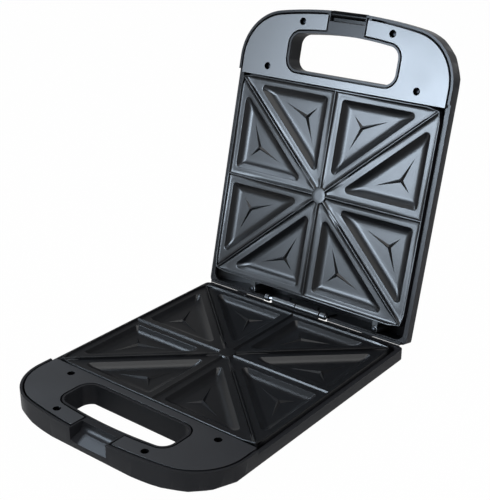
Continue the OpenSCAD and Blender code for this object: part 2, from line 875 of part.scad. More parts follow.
// Tubular loop under the pockets, open at the rear, with a pin at each end
module element() {
    x = element_x - element_bend;
    y = element_y - element_bend;
    tail = 26;
    translate([0, 0, element_z]) {
        quarter_bend(x, y, 0);
        quarter_bend(-x, y, 90);
        quarter_bend(-x, -y, 180);
        quarter_bend(x, -y, 270);
        translate([-x, -element_y, 0])
            rotate([0, 90, 0])
                cylinder(h = 2 * x, r = element_r, $fn = 32);
        for (s = [-1, 1]) {
            translate([s * element_x, y, 0])
                rotate([90, 0, 0])
                    cylinder(h = 2 * y, r = element_r, $fn = 32);
            translate([s * x, element_y, 0])
                rotate([0, -s * 90, 0]) {
                    cylinder(h = x - tail, r = element_r, $fn = 32);
                    cylinder(h = x - tail + 12, r = 1.2, $fn = 32);
                }
        }
    }
}

// Shallow sheet pan that throws the heat back to the plate
module reflector() {
    difference() {
        translate([0, 0, -reflector_depth])
            linear_extrude(reflector_wall)
                round_box(reflector_x, -reflector_y, reflector_y, reflector_r);
        translate([0, 0, -reflector_depth + sheet_t])
            linear_extrude(reflector_wall)
                round_box(reflector_x - sheet_t, -reflector_y + sheet_t, reflector_y - sheet_t,
                    reflector_r - sheet_t);
        for (p = post_xy)
            translate([p[0], p[1], -reflector_depth - 1])
                cylinder(h = 3, r = bore_r + 0.2);
    }
}

module reflector_screws() {
    for (p = post_xy)
        translate([p[0], p[1], -reflector_depth + sheet_t])
            screw(sheet_t + 7);
}

// Disc thermostat under the reflector, with its two blade terminals
module thermostat() {
    translate([disc_xy[0], disc_xy[1], -reflector_depth]) {
        translate([0, 0, -2])
            cylinder(h = 2, r = 9.5);
        translate([0, 0, -9])
            cylinder(h = 7, r = 8);
        for (s = [-1, 1])
            translate([s * 9 - 3, -3, -8])
                cube([6, 6, 0.8]);
    }
}

module base_element() {
    color("#8a8a86")
        in_base()
            element();
}

module lid_element() {
    color("#8a8a86")
        in_lid()
            element();
}

module base_reflector() {
    color("#c9ccce")
        in_base()
            reflector();
}

module lid_reflector() {
    color("#c9ccce")
        in_lid()
            reflector();
}

module base_reflector_screws() {
    color("#9a9da0")
        in_base()
            reflector_screws();
}

module lid_reflector_screws() {
    color("#9a9da0")
        in_lid()
            reflector_screws();
}

module base_thermostat() {
    color("#d8d4c8")
        in_base()
            thermostat();
}

module lid_thermostat() {
    color("#d8d4c8")
        in_lid()
            thermostat();
}

module thermal_fuse() {
    color("#b9a06a")
        in_base()
            translate([fuse_xy[0], fuse_xy[1], -reflector_depth - 2.6])
                rotate([0, 90, 0]) {
                    cylinder(h = 16, r = 2.6, $fn = 32);
                    translate([0, 0, -8])
                        cylinder(h = 32, r = 0.7, $fn = 24);
                }
}

module terminal_block() {
    color("#d9d7cf")
        in_base()
            difference() {
                translate([block_x, block_y, tray_floor])
                    cube(block_size);
                for (i = [0 : 2])
                    translate([block_x + block_pitch * (i + 0.5), block_y + block_size[1] / 2,
                            tray_floor + 4])
                        cylinder(h = block_size[2], r = 2.4);
            }
}

// Rubber bushing in the rear wall, open for a cord
module cord_bushing() {
    color("#1c1c1e")
        in_base()
            translate([cord_x, base_back, cord_z])
                rotate([90, 0, 0])
                    difference() {
                        union() {
                            translate([0, 0, -1.6])
                                cylinder(h = 1.6, r = cord_r + 3.8);
                            cylinder(h = wall, r = cord_r + 2.15);
                            translate([0, 0, wall])
                                cylinder(h = 2, r = cord_r + 3.6);
                        }
                        translate([0, 0, -3])
                            cylinder(h = 12, r = cord_r);
                    }
}

// ---- feet ----
module feet() {
    color("#202022")
        in_base()
            for (p = foot_xy)
                translate([p[0], p[1], -parting_h])
                    difference() {
                        cylinder(h = foot_h, r1 = foot_r - 1, r2 = foot_r);
                        translate([0, 0, -1])
                            cylinder(h = foot_h + 2, r = bore_r + 0.2);
                        translate([0, 0, -1])
                            cylinder(h = foot_h - 0.6, r = head_r + 0.6);
                    }
}

module feet_screws() {
    color("#9a9da0")
        in_base()
            for (p = foot_xy)
                translate([p[0], p[1], -parting_h + foot_h - 1.6])
                    rotate([180, 0, 0])
                        screw(8);
}

// ---- hinge ----
module barrel(x, length) {
    translate([x, hinge_y, hinge_z])
        rotate([0, 90, 0])
            cylinder(h = length, r = barrel_r);
}

module hinge_bore() {
    translate([left_knuckle_x - 5, hinge_y, hinge_z])
        rotate([0, 90, 0])
            cylinder(h = bore_len, r = pin_r + run);
}

// Long barrels on a bent leaf behind the base's rear wall
module base_hinge() {
    y0 = base_back - wall - leaf_t;
    color("#1d1d20")
        in_base()
            difference() {
                union() {
                    barrel(leaf_x, barrel_len);
                    barrel(leaf_x + barrel_len + knuckle_gap, barrel_len);
                    for (x = [leaf_x, leaf_x + barrel_len + knuckle_gap])
                        translate([x, y0, hinge_z - barrel_r])
                            cube([barrel_len, hinge_y - y0, leaf_t]);
                    translate([leaf_x, y0, -leaf_depth])
                        cube([leaf_w, leaf_t, leaf_depth + hinge_z - barrel_r + leaf_t]);
                }
                hinge_bore();
                for (x = hinge_screw_x)
                    translate([x, y0 + leaf_t + 1, hinge_screw_z])
                        rotate([90, 0, 0])
                            cylinder(h = leaf_t + 2, r = bore_r);
            }
}

module base_hinge_screws() {
    color("#55585c")
        in_base()
            for (x = hinge_screw_x)
                translate([x, base_back, hinge_screw_z])
                    rotate([-90, 0, 0])
                        screw(wall + leaf_t + 3);
}

module hinge_pin() {
    color("#b8babd")
        in_base()
            translate([left_knuckle_x - 1, hinge_y, hinge_z])
                rotate([0, 90, 0])
                    cylinder(h = right_knuckle_x + right_knuckle + 2 - left_knuckle_x, r = pin_r);
}

// Short knuckles at both ends of the barrels, their arms and the leaf in the lid's rear wall
module lid_hinge() {
    y0 = lid_back - wall - leaf_t;
    knuckles = [[left_knuckle_x, left_knuckle], [right_knuckle_x, right_knuckle]];
    color("#1d1d20")
        swung()
            difference() {
                union() {
                    for (k = knuckles) {
                        barrel(k[0], k[1]);
                        translate([k[0], y0, hinge_z])
                            cube([k[1], leaf_t, hinge_gap + 2]);
                    }
                    translate([left_knuckle_x, y0, hinge_z + hinge_gap])
                        cube([right_knuckle_x + right_knuckle - left_knuckle_x, leaf_t, 17]);
                    translate([leaf_x + barrel_len + 6, y0, hinge_z + barrel_r + 0.8])
                        cube([barrel_len - 6, leaf_t, 3]);
                }
                hinge_bore();
                for (x = hinge_screw_x)
                    translate([x, y0 + leaf_t + 1, -hinge_screw_z + 2])
                        rotate([90, 0, 0])
                            cylinder(h = leaf_t + 2, r = bore_r);
            }
}

module lid_hinge_screws() {
    color("#55585c")
        swung()
            for (x = hinge_screw_x)
                translate([x, lid_back, -hinge_screw_z + 2])
                    rotate([-90, 0, 0])
                        screw(wall + leaf_t + 3);
}

// ---- signal lamps in the lid ----
module lens(x) {
    swung()
        translate([x, lamp_y, half_depth - wall]) {
            cylinder(h = wall + 0.6, r = lens_r);
            translate([0, 0, wall + 0.6])
                cylinder(h = 0.5, r1 = lens_r, r2 = lens_r - 0.6);
            translate([0, 0, -1.8])
                cylinder(h = 1.8, r = lens_r + 1.6);
        }
}

module power_lens() {
    color("#c8281e")
        lens(-lamp_x);
}

module ready_lens() {
    color("#35b04a")
        lens(lamp_x);
}

module signal_lamps() {
    color("#e8e4d8")
        swung()
            for (s = [-1, 1])
                translate([s * lamp_x, lamp_y, reflector_depth])
                    cylinder(h = half_depth - wall - 1.8 - seat - reflector_depth, r = 2.8);
}

// ---- latch ----
// Clip folded back against the lid's notch; it swings half a turn to hook under the base
module latch() {
    x = latch_notch_half_w - seat;
    color("#121214")
        swung()
            translate([0, -latch_y, latch_z])
                difference() {
                    union() {
                        rotate([0, 90, 0])
                            translate([0, 0, -x])
                                cylinder(h = 2 * x, r = latch_barrel_r);
                        translate([-x, 0, 0])
                            cube([2 * x, clip_inner + latch_t, latch_barrel_r]);
                        translate([-x, clip_inner, 0])
                            cube([2 * x, latch_t, hook_z + 2]);
                        translate([-x + 4, clip_inner + latch_t - hook_len, hook_z])
                            cube([2 * x - 8, hook_len, 2]);
                    }
                    translate([-x - 1, 0, 0])
                        rotate([0, 90, 0])
                            cylinder(h = 2 * x + 2, r = latch_pin_r + run);
                }
}

module latch_pin() {
    x = latch_notch_half_w + 3.4;
    color("#b8babd")
        swung()
            translate([-x, -latch_y, latch_z])
                rotate([0, 90, 0])
                    cylinder(h = 2 * x, r = latch_pin_r);
}

base_housing();
base_cover();
base_cover_screws();
base_plate();
base_plate_screws();
base_element();
base_reflector();
base_reflector_screws();
base_thermostat();
thermal_fuse();
terminal_block();
cord_bushing();
feet();
feet_screws();
base_hinge();
base_hinge_screws();
hinge_pin();
lid_housing();
lid_cover();
lid_cover_screws();
lid_plate();
lid_plate_screws();
lid_element();
lid_reflector();
lid_reflector_screws();
lid_thermostat();
lid_hinge();
lid_hinge_screws();
power_lens();
ready_lens();
signal_lamps();
latch();
latch_pin();
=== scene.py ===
# %% [markdown]
# A sandwich toaster stands open: a base with a cooking plate, and a lid that leans back on its hinge.
# The construction arrives as a fixed frame of CAD pieces, in metres. This script gives every piece its
# finish, and replaces the pieces whose real surfaces are softer than the plain solids.

# %% Load the frame
import math

import bmesh
import bpy
from mathutils import Matrix, Vector


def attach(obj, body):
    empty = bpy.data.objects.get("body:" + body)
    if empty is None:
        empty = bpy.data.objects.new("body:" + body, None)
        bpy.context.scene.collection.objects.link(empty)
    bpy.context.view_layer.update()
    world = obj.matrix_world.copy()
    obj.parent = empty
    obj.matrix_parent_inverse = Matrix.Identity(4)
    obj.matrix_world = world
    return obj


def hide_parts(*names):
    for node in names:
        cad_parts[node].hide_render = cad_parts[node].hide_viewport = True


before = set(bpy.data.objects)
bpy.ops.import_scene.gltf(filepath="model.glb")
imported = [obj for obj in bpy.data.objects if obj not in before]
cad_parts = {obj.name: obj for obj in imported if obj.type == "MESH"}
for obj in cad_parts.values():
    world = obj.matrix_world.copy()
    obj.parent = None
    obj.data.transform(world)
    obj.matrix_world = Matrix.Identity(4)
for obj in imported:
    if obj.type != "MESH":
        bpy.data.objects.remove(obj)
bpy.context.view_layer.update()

MM = 0.001
PARTING_H = 0.043                      # the closed toaster's parting plane above the table
PLATE_Y = -0.02047                     # the plate's middle, in the frame
HINGE_Y, HINGE_Z = 126.0, 0.8          # hinge pin from the plate's middle, in mm
OPEN_ANGLE = math.radians(103.6)       # how far the lid stands open

# %% [markdown]
# The two halves of a toaster are mirror images that meet on the parting plane. A piece is modelled once,
# in millimetres from the middle of the plate, as a lower half piece. One matrix puts it in the base, and
# another mirrors it and swings it about the hinge pin to where the open lid stands.

# %% Places of the two halves
to_base = Matrix.Translation((0, PLATE_Y, PARTING_H)) @ Matrix.Scale(MM, 4)
about_pin = Matrix.Translation((0, HINGE_Y, HINGE_Z))
swing = about_pin @ Matrix.Rotation(-OPEN_ANGLE, 4, "X") @ about_pin.inverted()
to_lid_closed = to_base @ swing
to_lid = to_lid_closed @ Matrix.Scale(-1, 4, (0, 0, 1))
print("lid pieces turn by", round(math.degrees(OPEN_ANGLE), 1), "degrees about the pin")

# %% [markdown]
# Colours are written as the sRGB hex values that a designer would pick, and Blender's shaders want linear
# light, so one function converts them. A second one adds any node with its settings and links.

# %% Colour and node helpers
def linear(hex_colour):
    """sRGB hex text to a linear RGBA tuple."""
    parts = [int(hex_colour[i:i + 2], 16) / 255 for i in (1, 3, 5)]
    return tuple(c / 12.92 if c <= 0.04045 else ((c + 0.055) / 1.055) ** 2.4 for c in parts) + (1.0,)


def add_node(tree, kind, settings=None, **links):
    """One node: settings are attributes or input values by name, links are input name = output socket."""
    node = tree.nodes.new(kind)
    for name, value in (settings or {}).items():
        if name in node.inputs:
            node.inputs[name].default_value = value
        else:
            setattr(node, name, value)
    for name, socket in links.items():
        tree.links.new(socket, node.inputs[name.replace("_", " ")])
    return node


# %% [markdown]
# The toaster is black almost everywhere, so its finishes differ by how they take the light: satin
# moulded plastic, a fine non-stick coating, gloss enamelled steel and a little bare metal. Each material
# below has a fine relief at its real size in millimetres, and a slight change of roughness over the part.

# %% Make a finish
def finish(name, colour, roughness, metallic=0.0, ior=1.46, grain_mm=0.6, relief_mm=0.004,
           patch_mm=40.0, rough_change=0.05, colour_2=None, spec=0.5, coat=0.0):
    """A principled material: two close tints in patches, a changing roughness and a fine bump."""
    mat = bpy.data.materials.new(name)
    mat.use_nodes = True
    tree = mat.node_tree
    shader = tree.nodes["Principled BSDF"]
    shader.inputs["Metallic"].default_value = metallic
    shader.inputs["IOR"].default_value = ior
    shader.inputs["Specular IOR Level"].default_value = spec
    shader.inputs["Coat Weight"].default_value = coat
    shader.inputs["Coat Roughness"].default_value = 0.1
    where = add_node(tree, "ShaderNodeTexCoord").outputs["Object"]
    patches = add_node(tree, "ShaderNodeTexNoise",
                       {"Scale": 1 / (patch_mm * MM), "Detail": 3.0}, Vector=where)
    rough = add_node(tree, "ShaderNodeMapRange",
                     {"To Min": roughness - rough_change, "To Max": roughness + rough_change},
                     Value=patches.outputs["Fac"])
    tree.links.new(rough.outputs["Result"], shader.inputs["Roughness"])
    tint = add_node(tree, "ShaderNodeMix", {"data_type": "RGBA"})
    tree.links.new(patches.outputs["Fac"], tint.inputs["Factor"])
    socket_a = [s for s in tint.inputs if s.name == "A" and s.type == "RGBA"][0]
    socket_b = [s for s in tint.inputs if s.name == "B" and s.type == "RGBA"][0]
    socket_a.default_value = linear(colour)
    socket_b.default_value = linear(colour_2 or colour)
    result = [s for s in tint.outputs if s.type == "RGBA"][0]
    tree.links.new(result, shader.inputs["Base Color"])
    grain = add_node(tree, "ShaderNodeTexNoise",
                     {"Scale": 1 / (grain_mm * MM), "Detail": 2.0}, Vector=where)
    bump = add_node(tree, "ShaderNodeBump",
                    {"Strength": 1.0, "Distance": relief_mm * MM}, Height=grain.outputs["Fac"])
    tree.links.new(bump.outputs["Normal"], shader.inputs["Normal"])
    return mat


mats = {
    # ABS plastic, injection moulded in a fine-textured steel mould: an even satin black with soft glints
    "casing": finish("satin_moulded_abs", "#2A2B2F", 0.32, grain_mm=0.9, relief_mm=0.01,
                     colour_2="#2F3034", spec=0.2),
    # ABS plastic from a smoother, polished mould: a clear sheen that turns silvery at a low angle
    "cover": finish("eggshell_moulded_abs", "#232429", 0.38, grain_mm=0.9, relief_mm=0.01,
                    colour_2="#27292E", spec=0.95),
    # PTFE non-stick coating, sprayed on cast aluminium and baked: deep black, silky, very slightly pebbled
    "nonstick": finish("ptfe_nonstick_coating", "#0F1013", 0.33, grain_mm=1.1, relief_mm=0.012,
                       colour_2="#131418", spec=0.45),
    # painted shade: the same ABS down in a narrow screw well, coloured near black and made rough so that the
    # well looks shaded
    "well": finish("painted_well_shade_abs", "#050506", 0.85, spec=0.05, grain_mm=0.9),
    # pressed steel, dipped and stoved in black enamel: smooth, dark, with a broad soft glint
    "gloss": finish("gloss_enamelled_steel", "#1A1B1E", 0.34, grain_mm=1.5, relief_mm=0.003, spec=0.8),
    # ABS plastic from a mirror-polished mould: nearly black, with small sharp glints
    "latch": finish("gloss_moulded_abs", "#08080A", 0.22, grain_mm=1.5, relief_mm=0.003, spec=0.12),
    # mild steel wire, drawn and zinc plated: light grey metal, a little clouded
    "steel": finish("zinc_plated_steel", "#A9ACB0", 0.32, metallic=1.0, grain_mm=0.8),
    # cold-headed screw steel, blackened in a salt bath and oiled: dark metal with a dull shine
    "screw": finish("blackened_screw_steel", "#2A2B2E", 0.35, metallic=0.8, grain_mm=0.8),
    # steel tube of a heating element, drawn, packed and oxidised by its own heat: brownish grey, dull
    "sheath": finish("oxidised_steel_sheath", "#6E6C67", 0.55, metallic=0.7, grain_mm=0.8),
    # aluminium sheet, cold rolled bright: a pale metal that mirrors softly
    "foil": finish("bright_rolled_aluminium", "#D5D7D9", 0.25, metallic=1.0, grain_mm=1.2),
    # steatite ceramic, pressed and fired without a glaze: chalky white, no shine
    "ceramic": finish("unglazed_white_ceramic", "#DAD6CB", 0.7, grain_mm=0.7, relief_mm=0.02),
    # brass strip, stamped and left plain: warm yellow metal
    "brass": finish("plain_brass", "#B8985A", 0.3, metallic=1.0),
    # rubber, compression moulded in a blasted mould: soft black with no glint
    "rubber": finish("matt_black_rubber", "#1B1B1C", 0.75, grain_mm=0.5, relief_mm=0.02),
    # acrylic, injection moulded with a red dye: a glossy wet-looking red
    "red": finish("clear_red_acrylic", "#B3140F", 0.12, coat=0.5),
    # acrylic, injection moulded with a green dye: a glossy wet-looking green
    "green": finish("clear_green_acrylic", "#1E8A3C", 0.12, coat=0.5),
    # soda-lime glass, blown small for a lamp: a smooth pale bead
    "glass": finish("clear_lamp_glass", "#D8D2C4", 0.08, coat=0.5),
}
print(len(mats), "finishes")

# %% Put the finishes on the CAD pieces
NODE_FINISH = {
    "base_housing": "casing", "lid_housing": "casing", "base_cover": "cover", "lid_cover": "cover",
    "base_plate": "nonstick", "lid_plate": "nonstick", "base_hinge": "gloss", "lid_hinge": "gloss",
    "hinge_pin": "steel", "latch_pin": "steel", "latch": "latch", "feet": "rubber",
    "cord_bushing": "rubber", "power_lens": "red", "ready_lens": "green", "signal_lamps": "glass",
    "thermal_fuse": "brass", "terminal_block": "ceramic", "base_thermostat": "ceramic",
    "lid_thermostat": "ceramic", "base_reflector": "foil", "lid_reflector": "foil",
    "base_element": "sheath", "lid_element": "sheath",
}


def set_finish(piece, key):
    piece.data.materials.clear()
    piece.data.materials.append(mats[key])


for node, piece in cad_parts.items():
    set_finish(piece, NODE_FINISH.get(node, "screw"))
print("finished", len(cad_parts), "CAD pieces")

# %% [markdown]
# A cooking plate is cast and then coated, so it has no sharp step anywhere: eight three-cornered pockets
# lie between low ridges, and every edge is rounded by the mould. A surface like that can be built as
# rings. Each pocket's sector starts at the middle of its ridges, and each further ring lies a little
# deeper inside and has its own height, so the section of the metal is a short list of numbers.

# %% Section of a cooking plate
PLATE_X, PLATE_Y_HALF = 125.0, 113.3   # half width and half depth, in mm
PLATE_R = 9.0                          # radius of the plate's corners
RIM_WIDTH = 6.0                        # rings nearer the edge than this follow the rounded corners
TOP_Z, LAND_Z, FLOOR_Z = -0.2, -2.2, -7.6
SKIRT_Z = -8.2                         # foot of the wall round the outside
PLATE_SHEET = 2.0                      # thickness of the cast metal
PLATE_SHARP = math.radians(50)         # edges that turn by more than this stay sharp
POCKET_LAND, POCKET_MARGIN = 9.0, 8.4  # from a ridge's middle, and from the plate's edge, to a pocket
WALL_ANGLE = math.radians(42)          # steepness of the pocket walls


def fillet(corner_run, corner_z, radius, convex, steps):
    """Points (run, z) that round the corner between a flat and a pocket wall."""
    reach = radius * math.tan(WALL_ANGLE / 2)
    points = []
    for i in range(steps + 1):
        a = WALL_ANGLE * i / steps
        if convex:
            points.append((corner_run - reach + radius * math.sin(a),
                           corner_z - radius + radius * math.cos(a)))
        else:
            b = WALL_ANGLE - a
            points.append((corner_run + reach - radius * math.sin(b),
                           corner_z + radius - radius * math.cos(b)))
    return points


wall_run = (LAND_Z - FLOOR_Z) / math.tan(WALL_ANGLE)
EDGE_FILLET, FOOT_FILLET = 1.2, 10.5
pocket_edge = fillet(0, LAND_Z, EDGE_FILLET, True, 4)
pocket_foot = fillet(wall_run, FLOOR_Z, FOOT_FILLET, False, 8)
# each ring: distance from a ridge's middle, distance from the plate's edge, height, corner radius
rings = [(0.0, 0.45, TOP_Z, 0.0), (0.36, 1.2, TOP_Z, 0.2), (0.5, 1.36, -0.27, 0.3),
         (0.62, 1.48, -0.42, 0.4), (1.5, 2.3, -1.68, 0.8), (1.72, 2.52, -2.0, 1.0),
         (2.1, 2.9, LAND_Z, 1.2), (5.4, 5.2, LAND_Z, 3.0)]
rings += [(POCKET_LAND + run, POCKET_MARGIN + run, z, 4.5 - 0.15 * i)
          for i, (run, z) in enumerate(pocket_edge)]
rings += [(POCKET_LAND + run, POCKET_MARGIN + run, z, 2.4 - 0.22 * i)
          for i, (run, z) in enumerate(pocket_foot)]
FLOOR_RUN = 13.0                       # the last ring lies on the flat floor
rings.append((POCKET_LAND + FLOOR_RUN, POCKET_MARGIN + FLOOR_RUN, FLOOR_Z, 0.5))
print(len(rings), "rings from ridge to pocket floor, wall angle",
      round(math.degrees(WALL_ANGLE)), "degrees")

# %% [markdown]
# One ring is a triangle whose three sides have moved inwards by their own distances, with rounded
# corners. Two lines cross where both equations hold, which gives the sharp corner, and an arc replaces it.

# %% A ring of points
SIDE_STEPS, CORNER_STEPS = 8, 8


def inset_sides(corners, insets):
    """The sides of a triangle as (normal, offset), each moved inwards by its own inset."""
    lines = []
    for i in range(3):
        d = (corners[(i + 1) % 3] - corners[i]).normalized()
        normal = Vector((-d.y, d.x))
        lines.append((normal, normal.dot(corners[i]) + insets[i]))
    return lines


def crossing(a, b):
    """The point where two (normal, offset) lines meet."""
    det = a[0].x * b[0].y - a[0].y * b[0].x
    return Vector(((a[1] * b[0].y - b[1] * a[0].y) / det, (a[0].x * b[1] - b[0].x * a[1]) / det))


def ring_points(corners, insets, radius):
    """Rounded triangle: side i runs from corner i to corner i + 1 and moves inwards by insets[i]."""
    lines = inset_sides(corners, insets)
    sharp = [crossing(lines[i - 1], lines[i]) for i in range(3)]
    points = []
    for i in range(3):
        before = (sharp[i - 1] - sharp[i]).normalized()
        after = (sharp[(i + 1) % 3] - sharp[i]).normalized()
        half = before.angle(after) / 2
        middle = sharp[i] + (before + after).normalized() * (radius / math.sin(half))
        start = sharp[i] + before * (radius / math.tan(half))
        end = sharp[i] + after * (radius / math.tan(half))
        for k in range(CORNER_STEPS + 1):
            if radius == 0:
                points.append(sharp[i].copy())
                continue
            turn = (math.pi - 2 * half) * (k / CORNER_STEPS)
            points.append(middle + Matrix.Rotation(turn, 2) @ (start - middle))
        next_before = (sharp[i] - sharp[(i + 1) % 3]).normalized()
        next_after = (sharp[(i + 2) % 3] - sharp[(i + 1) % 3]).normalized()
        next_half = next_before.angle(next_after) / 2
        next_start = sharp[(i + 1) % 3] + next_before * (radius / math.tan(next_half))
        for k in range(1, SIDE_STEPS):
            points.append(end.lerp(next_start, k / SIDE_STEPS))
    return points


def keep_in_corner(p, edge):
    """Draw a point in to the plate's rounded corner, less its ring's distance from the edge."""
    centre = Vector((math.copysign(PLATE_X - PLATE_R, p.x),
                     math.copysign(PLATE_Y_HALF - PLATE_R, p.y)))
    arm = p - centre
    if arm.x * centre.x > 0 and arm.y * centre.y > 0 and arm.length > PLATE_R - edge:
        return centre + arm.normalized() * (PLATE_R - edge)
    return p


# %% [markdown]
# The first quarter of the plate has two sectors. Mirroring them fills the other quarters, and the rings
# at the middle of the ridges then fall on each other, so merging doubles closes the seams. The skirt goes
# round the outside, and Solidify gives the sheet its thickness on the hidden side.

# %% Build the plate's surface
def add_sector(bm, corners, flip_x, flip_y):
    """One pocket's rings, from its ridges to its floor; its second side lies along the plate's edge."""
    sign = Vector((-1 if flip_x else 1, -1 if flip_y else 1))
    rows = []
    for ridge, edge, z, radius in rings:
        row = []
        for p in ring_points(corners, [ridge, edge, ridge], radius):
            p = keep_in_corner(p, edge) if edge < RIM_WIDTH else p
            row.append(bm.verts.new((p.x * sign.x, p.y * sign.y, z)))
        rows.append(row)
    flip = flip_x != flip_y
    for outer, inner in zip(rows, rows[1:]):
        for k in range(len(outer)):
            quad = [outer[k], outer[(k + 1) % len(outer)], inner[(k + 1) % len(inner)], inner[k]]
            bm.faces.new(quad[::-1] if flip else quad)
    bm.faces.new(rows[-1][::-1] if flip else rows[-1])


bm = bmesh.new()
corner = Vector((PLATE_X, PLATE_Y_HALF))
rear_sector = [Vector((0, 0)), corner, Vector((0, PLATE_Y_HALF))]
side_sector = [Vector((0, 0)), Vector((PLATE_X, 0)), corner]
for flip_x in (False, True):
    for flip_y in (False, True):
        add_sector(bm, rear_sector, flip_x, flip_y)
        add_sector(bm, side_sector, flip_x, flip_y)
bmesh.ops.remove_doubles(bm, verts=bm.verts, dist=0.01)
bmesh.ops.dissolve_degenerate(bm, edges=bm.edges, dist=0.005)
rim = [e for e in bm.edges if e.is_boundary]
print("plate surface:", len(bm.faces), "faces, rim of", len(rim), "edges")
# the wall leans out by its mould draft down to the casing's ledge, and is upright below it
for out, z in ((0.15, -0.22), (0.13, -0.31), (0.1, -0.46), (0.07, -0.66), (0.0, -0.95), (0.85, -4.4),
               (0.0, SKIRT_Z)):
    grown = bmesh.ops.extrude_edge_only(bm, edges=rim)["geom"]
    verts = [v for v in grown if isinstance(v, bmesh.types.BMVert)]
    for v in verts:
        centre = Vector((max(-PLATE_X + PLATE_R, min(PLATE_X - PLATE_R, v.co.x)),
                         max(-PLATE_Y_HALF + PLATE_R, min(PLATE_Y_HALF - PLATE_R, v.co.y))))
        arm = v.co.xy - centre
        v.co.xy = centre + arm.normalized() * (arm.length + out)
        v.co.z = z
    rim = [e for e in grown if isinstance(e, bmesh.types.BMEdge)]
bmesh.ops.recalc_face_normals(bm, faces=bm.faces)
if sum(f.normal.z * f.calc_area() for f in bm.faces) < 0:
    bmesh.ops.reverse_faces(bm, faces=bm.faces)
plate_surface = bpy.data.meshes.new("plate_surface")
bm.to_mesh(plate_surface)
bm.free()

# %% [markdown]
# The disc where the ridges meet is turned round an axis, and four ears at the plate's ends take the screws.
# Each is a closed shape of its own that stands in the plate's metal.

# %% Hub and ears
def lathe(bm, profile, centre, steps):
    """Turn (radius, z) points round a vertical axis; the profile starts and ends on the axis."""
    rows = []
    for r, z in profile:
        if r == 0:
            rows.append([bm.verts.new((centre[0], centre[1], z))])
        else:
            rows.append([bm.verts.new((centre[0] + r * math.cos(2 * math.pi * k / steps),
                                       centre[1] + r * math.sin(2 * math.pi * k / steps), z))
                         for k in range(steps)])
    for a, b in zip(rows, rows[1:]):
        for k in range(steps):
            ring = [a[k % len(a)], a[(k + 1) % len(a)], b[(k + 1) % len(b)], b[k % len(b)]]
            ring = list(dict.fromkeys(ring))
            bm.faces.new(ring)


FRONT_EARS = [(-69.5, -118.5, -5.5), (69.5, -118.5, -5.5)]
EAR_Z = -2.0
BASE_EARS = [(x, 117.8, EAR_Z) for x in (-69.5, 69.5)]
LID_EARS = [(x, 122.6, EAR_Z) for x in (-68.0, 93.0)]
EAR_NECK = (6.0, 2.1)                  # width and thickness of the metal from an ear to the plate
HUB_TOP = TOP_Z + 0.08                 # the disc stands just proud of the ridges


def plate_extras(rear_ears):
    """The hub, and a round ear with its neck at each screw."""
    bm = bmesh.new()
    lathe(bm, [(0, HUB_TOP), (4.0, HUB_TOP), (8.0, HUB_TOP), (8.3, TOP_Z + 0.02), (8.6, -0.42),
               (9.1, -1.5), (9.4, -2.0), (9.8, -2.3), (9.8, -4.2), (0, -4.2)], (0, 0), 64)
    for x, y, z in FRONT_EARS + rear_ears:
        lathe(bm, [(0, z - 0.3), (2.0, z), (4.0, z), (4.3, z - 0.3), (4.3, z - 2.2), (4.1, z - 2.4),
                   (0, z - 2.4)], (x, y), 32)
        y0, y1 = sorted((y, math.copysign(PLATE_Y_HALF - 1, y)))
        made = bmesh.ops.create_cube(bm, size=1)
        for v in made["verts"]:
            v.co = Vector((x + v.co.x * EAR_NECK[0], (y0 + y1) / 2 + v.co.y * (y1 - y0),
                           z - 1.25 + v.co.z * EAR_NECK[1]))
    bmesh.ops.recalc_face_normals(bm, faces=bm.faces)
    mesh = bpy.data.meshes.new("hub_and_ears")
    bm.to_mesh(mesh)
    bm.free()
    return mesh


# %% [markdown]
# Finishing a piece always takes the same steps: run its modifiers, keep the result as a plain mesh,
# put that into the frame with its place matrix, and hand it to the body it moves with.

# %% Finish helpers
def settle(obj):
    """Replace an object's mesh by its evaluated one, and drop the modifiers."""
    bpy.context.view_layer.update()
    depsgraph = bpy.context.evaluated_depsgraph_get()
    mesh = bpy.data.meshes.new_from_object(obj.evaluated_get(depsgraph), depsgraph=depsgraph)
    obj.modifiers.clear()
    obj.data = mesh
    return obj


def new_object(name, mesh):
    """An object in the scene that holds the mesh."""
    obj = bpy.data.objects.new(name, mesh)
    bpy.context.collection.objects.link(obj)
    return obj


def place(obj, matrix):
    """Put a piece's place into its mesh; a mirroring matrix also needs its faces turned round."""
    obj.data.transform(matrix)
    if matrix.determinant() < 0:
        obj.data.flip_normals()
    return obj


def hand_over(obj, body, key, slot, *nodes):
    """Give a finished piece its material and its body, and hide the nodes it stands for; slot is not used."""
    set_finish(obj, key)
    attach(obj, body)
    for node in nodes:
        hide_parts(node)
    print(obj.name, "rides on", body, "with", len(obj.data.polygons), "faces")


def joined(name, meshes):
    """One mesh that holds all of the given ones."""
    bm = bmesh.new()
    for mesh in meshes:
        bm.from_mesh(mesh)
    mesh = bpy.data.meshes.new(name)
    bm.to_mesh(mesh)
    bm.free()
    return mesh


# %% [markdown]
# In the middle of each pocket stands a small star, three thin arms that taper towards the corners and
# mark the bread. Geometry Nodes sweep it: every arm is one edge of a wire, a curve takes the edge, its
# size shrinks along it, and a small four-sided section follows it. Only the crest stands out of the metal.

# %% Node tree for the stars
STAR_REACH = 0.42                      # share of the way from a pocket's middle to its corner
STAR_SINK, TIP_SINK = 1.2, 0.02        # how far an arm's line lies below the floor, in mm
STAR_RADII = {"Middle radius": 3.3, "Tip radius": 0.12}


def node_group(name, inputs):
    """A Geometry Nodes tree with the given inputs, as (tree, input node, output node)."""
    tree = bpy.data.node_groups.new(name, "GeometryNodeTree")
    tree.interface.new_socket("Geometry", in_out="INPUT", socket_type="NodeSocketGeometry")
    for label, kind, value in inputs:
        socket = tree.interface.new_socket(label, in_out="INPUT", socket_type="NodeSocket" + kind)
        if value is not None:
            socket.default_value = value
    tree.interface.new_socket("Geometry", in_out="OUTPUT", socket_type="NodeSocketGeometry")
    return tree, tree.nodes.new("NodeGroupInput"), tree.nodes.new("NodeGroupOutput")


